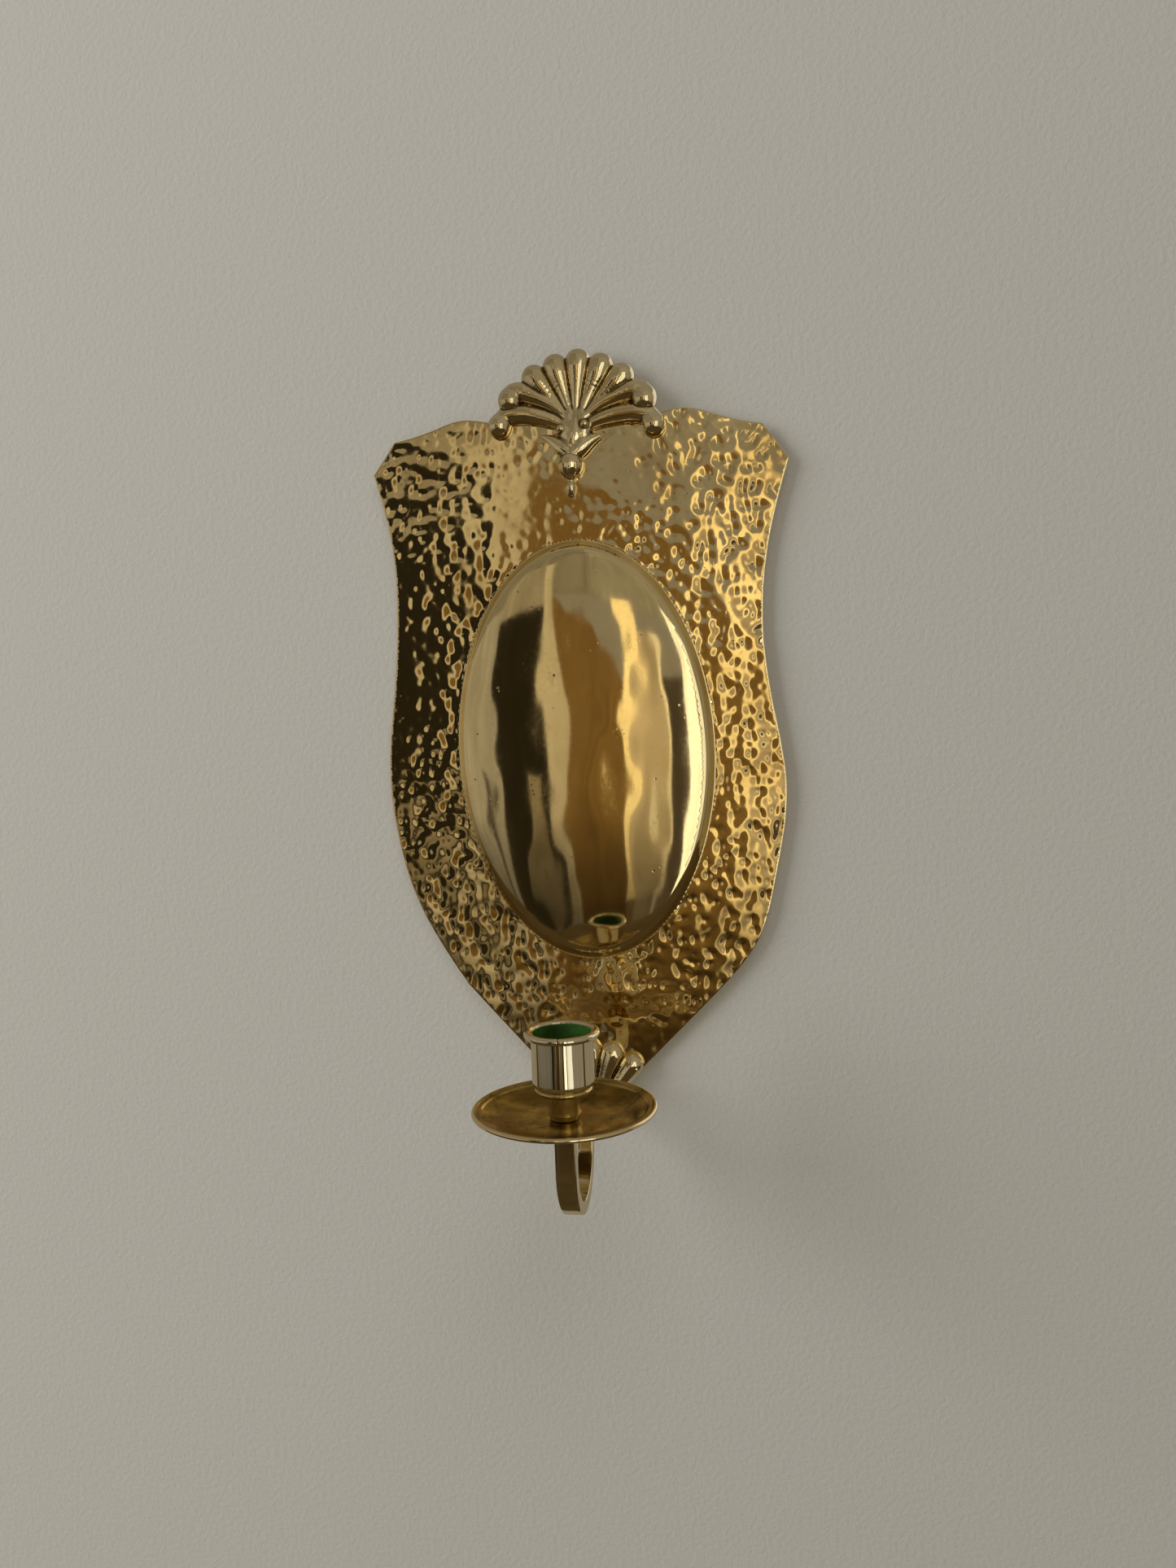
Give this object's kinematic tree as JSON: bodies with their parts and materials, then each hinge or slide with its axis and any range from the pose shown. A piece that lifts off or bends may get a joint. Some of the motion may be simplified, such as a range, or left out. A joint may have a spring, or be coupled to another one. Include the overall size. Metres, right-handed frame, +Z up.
{
  "type": "wall sconce candle holder",
  "caption": "Brass wall sconce: hammered shield plate with a raised oval, shell crest, curved bar arm, drip pan and cup for a dinner candle.",
  "frame": {"origin": "centre of the hanging eye, on the wall plane", "axes": "+Z up, +Y into the wall, the front faces -Y"},
  "size_m": [0.1886, 0.1213, 0.3664],
  "materials": {
    "hammered_brass": "hammered and polished, oval smooth",
    "cast_brass": "cast and polished, darker in the grooves",
    "bar_brass": "drawn bar, polished",
    "polished_brass": "bright polished",
    "dull_brass": "tarnished satin",
    "fastener_brass": "turned, dull",
    "green_lining": "smooth green coating"
  },
  "bodies": {
    "root": {"back_plate": "hammered_brass", "crest": "cast_brass", "shell_boss": "cast_brass", "arm": "bar_brass", "arm_washer": "fastener_brass", "arm_nut": "fastener_brass", "drip_pan": "dull_brass", "neck_collar": "dull_brass", "base_disc": "dull_brass", "candle_cup": "polished_brass", "rim_ring": "polished_brass", "cup_liner": "green_lining", "cup_screw": "fastener_brass", "crest_screws": "fastener_brass", "shell_screws": "fastener_brass", "hanger_strap": "dull_brass"}
  },
  "joints": []
}
